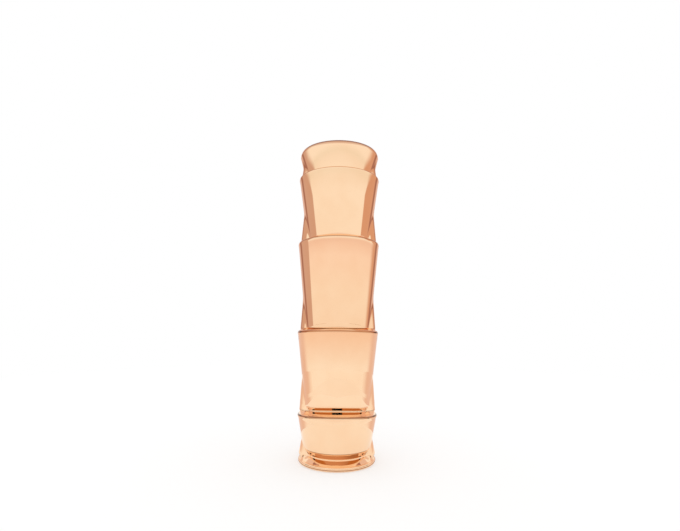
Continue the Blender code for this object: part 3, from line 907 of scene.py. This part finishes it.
# Colour of the ring's front, as (height, colour) points
FRONT = [(0.5, WHITE), (2.4, (0.98, 0.86, 0.82)), (5, (0.99, 0.95, 0.93)), (14, (1.0, 0.98, 0.97)),
         (18.5, WHITE), (22, WHITE), (28, (0.97, 0.87, 0.82)), (33.1, (0.955, 0.78, 0.69)),
         (33.3, (0.5, 0.27, 0.18)), (34.3, (0.42, 0.22, 0.15)), (34.7, (0.97, 0.92, 0.88)),
         (47, (0.985, 0.94, 0.91)), (58, (0.985, 0.88, 0.85)),
         (61.5, (0.95, 0.8, 0.76)), (63.2, (0.9, 0.73, 0.69)), (63.3, WHITE), (78, WHITE),
         (82, (0.97, 0.95, 0.93)), (84, (0.93, 0.93, 0.9)), (86, WHITE)]

# The groove's strip is black in its middle and past these azimuths
BLACK_MIDDLE, BLACK_LEFT, BLACK_RIGHT = 18, -86, 90
FOOT_SHADE = (10, 60)       # the foot's strip is darker from left to right over these azimuths


def front_color(z):
    for (z_a, a), (z_b, b) in zip(FRONT, FRONT[1:]):
        if z <= z_b:
            return blend_color(a, b, max((z - z_a) / (z_b - z_a), 0.0))
    return WHITE


def ring_color(azimuth, z):
    """The card ring round the case: pale in front, tan at the sides and brown at the back."""
    left = azimuth < 0
    turn = abs(azimuth)
    front = front_color(z)
    if z < WING_LOW_Z:
        return blend_color(front, LOW_TAN, band(turn, *LOW_SIDE))
    edge = follow(LEFT_EDGE if left else RIGHT_EDGE, z)
    soft = follow(EDGE_SOFTNESS, z) if left or z >= STEP_Z else LOW_RIGHT_SOFTNESS
    tan = LEFT_TAN if left else RIGHT_TAN
    tan = blend_color(tan, SKIRT_TAN, ease(turn, *SKIRT_START))
    tan = blend_color(tan, CREASE_BROWN, band(turn, *CREASE))
    tan = blend_color(tan, BACK_BROWN, ease(turn, *BACK_START))
    return blend_color(front, tan, ease(turn, edge - soft, edge + soft))


def roof_color(azimuth, z):
    """The tent's roof is darker towards the back."""
    front = blend_color(WHITE, ROOF_TAN, ease(z, *ROOF_SHADE))
    return blend_color(front, ROOF_BROWN, ease(abs(azimuth), *ROOF_BACK_START))


def groove_color(azimuth, z):
    if azimuth < BLACK_LEFT or abs(azimuth) < BLACK_MIDDLE or azimuth > BLACK_RIGHT:
        return BLACK
    return AMBER


def foot_color(azimuth, z):
    return blend_color(FOOT_AMBER, FOOT_BROWN, ease(azimuth, *FOOT_SHADE))


# Painted contact shadow, mirrored in the foot's lower fillet
def contact_shadow_color(azimuth, z):
    return CONTACT_SHADOW_BROWN


def add_cards():
    """Everything the polished metal mirrors, apart from the white surroundings.

    The ring has two gaps. The groove over the base sees its strip through the upper one, and
    the groove over the foot sees its own through the lower one. The side backs stand behind
    the gaps at the case's sides.
    """
    around = steps_between(-180, 180, 480)
    ring = RING_RADIUS
    lathe_card("ring_low", upright(ring, level(RING_LOW_Z), FOOT_GAP[0], 30), around, ring_color)
    lathe_card("ring_between", upright(ring, FOOT_GAP[1], GROOVE_GAP[0], 30), around, ring_color)
    lathe_card("ring_middle", upright(ring, GROOVE_GAP[1], level(WING_LOW_Z - RING_SEAM), 90), around,
               ring_color)
    lathe_card("ring_high", upright(ring, level(WING_LOW_Z), level(RING_TOP_Z), 250), around, ring_color)

    roof_rows = [(radius, level(z), level(z), 0) for radius, z in ROOF]
    lathe_card("roof", roof_rows, steps_between(-180, 180, 72), roof_color)
    for side in (-1, 1):
        first, last = SIDE_BACK_TURNS
        behind = steps_between(first * side, last * side, last - first)
        back = upright(SIDE_BACK_RADIUS, level(RING_LOW_Z), level(SIDE_BACK_TOP_Z), 8)
        lathe_card("side_back", back, behind, ring_color)
    strip_around = steps_between(-STRIP_REACH, STRIP_REACH, 2 * STRIP_REACH)
    lathe_card("groove_strip", upright(GROOVE_STRIP_RADIUS, *GROOVE_STRIP, 1), strip_around, groove_color)
    lathe_card("foot_strip", upright(FOOT_STRIP_RADIUS, *FOOT_STRIP, 1), strip_around, foot_color)
    contact_rows = [(radius, level(CONTACT_Z), level(CONTACT_Z), 0) for radius in CONTACT_RADII]
    lathe_card("contact", contact_rows, steps_between(-180, 180, 96), contact_shadow_color)


# --- assembly -----------------------------------------------------------------------------

# Each rebuilt piece: its builder, the body it rides, the CAD node it replaces and its material.
PIECES = [
    (build_cap_shell, "cap", "cap_shell", "case_gold"),
    (build_base_shell, "base", "base_shell", "case_gold"),
    (build_outer_sleeve, "sleeve", "outer_sleeve", "sleeve_gold"),
    (build_cup, "bullet", "bullet_cup", "cup_gold"),
    (build_bullet_wax, "bullet", "bullet", "wax"),
    (build_refill_foot, "refill", "refill_foot", "black_plastic"),
    (build_base_holder, "base", "base_holder", "black_plastic"),
    (build_base_plate, "base", "base_plate", "plate_gold"),
    (build_magnet, "base", "base_magnet", "magnet_nickel"),
    (build_cap_liner, "cap", "cap_liner", "liner_plastic"),
    (build_clip_ring, "cap", "cap_clip_ring", "clip_plastic"),
]

# CAD nodes kept as they are, which only get their material.
CARRIED_OVER = [
    ("cap_weight", "steel"), ("base_weight", "steel"), ("refill_keeper", "steel"),
    ("inner_body", "inner_plastic"), ("spiral_sleeve", "spiral_plastic"),
    ("drag_ring", "silicone"), ("base_label", "label_film"),
]


def material_set():
    """One procedural material for each of the record's material slots."""
    return {
        "case_gold": polished_gold("case_gold", (1.0, 0.71, 0.465), 0.035, 0.06, painted_rim_shade_on=True),
        "sleeve_gold": polished_gold("sleeve_gold", (0.97, 0.7, 0.48), 0.1, 0.2),
        "cup_gold": turned_metal("cup_gold", (0.93, 0.7, 0.5), 0.16, 0.3),
        "plate_gold": turned_metal("plate_gold", (0.92, 0.64, 0.45), 0.22, 0.38),
        "steel": turned_metal("steel", (0.56, 0.56, 0.57), 0.25, 0.42),
        "magnet_nickel": turned_metal("magnet_nickel", (0.62, 0.61, 0.58), 0.14, 0.3),
        "black_plastic": moulded_plastic("black_plastic", (0.018, 0.018, 0.02), 0.32, 0.48),
        "liner_plastic": moulded_plastic("liner_plastic", (0.03, 0.027, 0.027), 0.28, 0.42),
        "clip_plastic": moulded_plastic("clip_plastic", (0.72, 0.7, 0.66), 0.32, 0.46),
        "inner_plastic": moulded_plastic("inner_plastic", (0.8, 0.79, 0.75), 0.28, 0.42),
        "spiral_plastic": moulded_plastic("spiral_plastic", (0.6, 0.6, 0.6), 0.34, 0.5),
        "silicone": moulded_plastic("silicone", (0.4, 0.4, 0.42), 0.55, 0.7, 0.008),
        "label_film": moulded_plastic("label_film", (0.8, 0.79, 0.77), 0.42, 0.56, 0.002),
        "wax": wax_material(),
    }

def main():
    scene = bpy.context.scene
    scene.view_settings.view_transform = "Standard"
    add_camera()
    world_light()
    add_floor()
    add_cards()

    looks = material_set()
    for build, body, node, slot in PIECES:
        piece = build()
        paint(piece, looks[slot])
        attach(piece, body)
        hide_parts(node)
    for node, slot in CARRIED_OVER:
        paint(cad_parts[node], looks[slot])


main()
